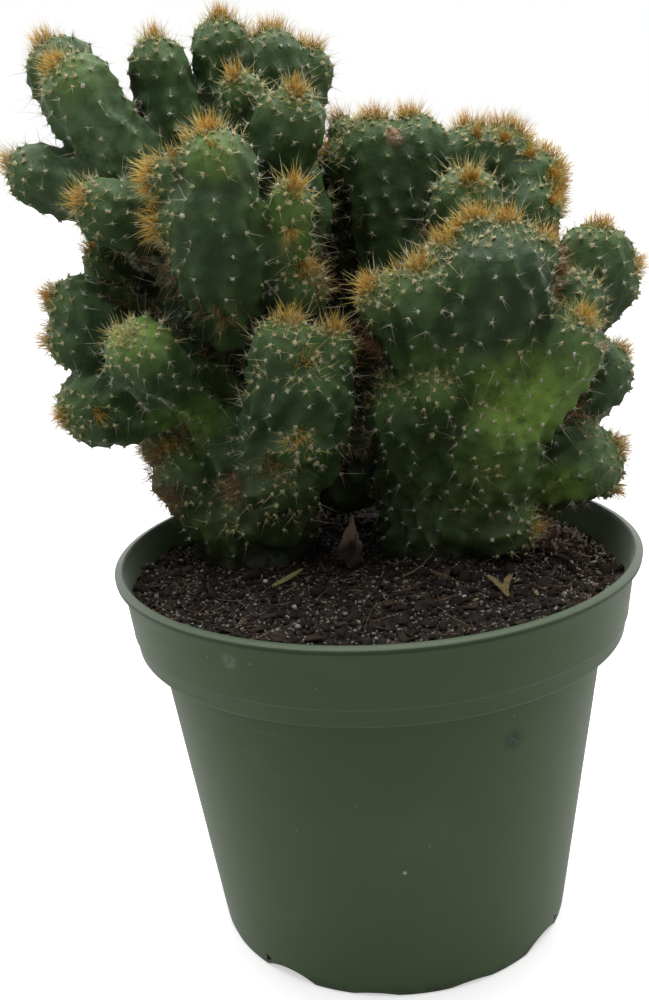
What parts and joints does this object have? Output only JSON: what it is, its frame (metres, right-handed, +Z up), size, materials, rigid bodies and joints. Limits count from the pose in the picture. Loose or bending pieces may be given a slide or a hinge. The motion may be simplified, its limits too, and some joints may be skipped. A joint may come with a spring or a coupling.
{
  "type": "potted crested peruvian apple cactus",
  "caption": "Crested columnar cactus with knobbly ribbed lobes and golden spine tufts, rooted in soil in a round green plastic nursery pot.",
  "frame": {"origin": "centre of the pot's flat underside, on the pot's axis", "axes": "+Z up along the pot's axis; the side seen in the picture faces -Y, with +X to that viewer's right"},
  "size_m": [0.198, 0.1771, 0.2786],
  "materials": {
    "pot_plastic": "satin",
    "potting_soil": "rough",
    "left_skin": "satin",
    "right_skin": "satin",
    "dry_leaf": "matte",
    "straw": "matte"
  },
  "bodies": {
    "root": {"pot": "pot_plastic", "soil": "potting_soil", "left_stem": "left_skin", "right_stem": "right_skin", "dry_leaf": "dry_leaf", "straw_blade": "straw", "split_straw": "straw"}
  },
  "joints": []
}
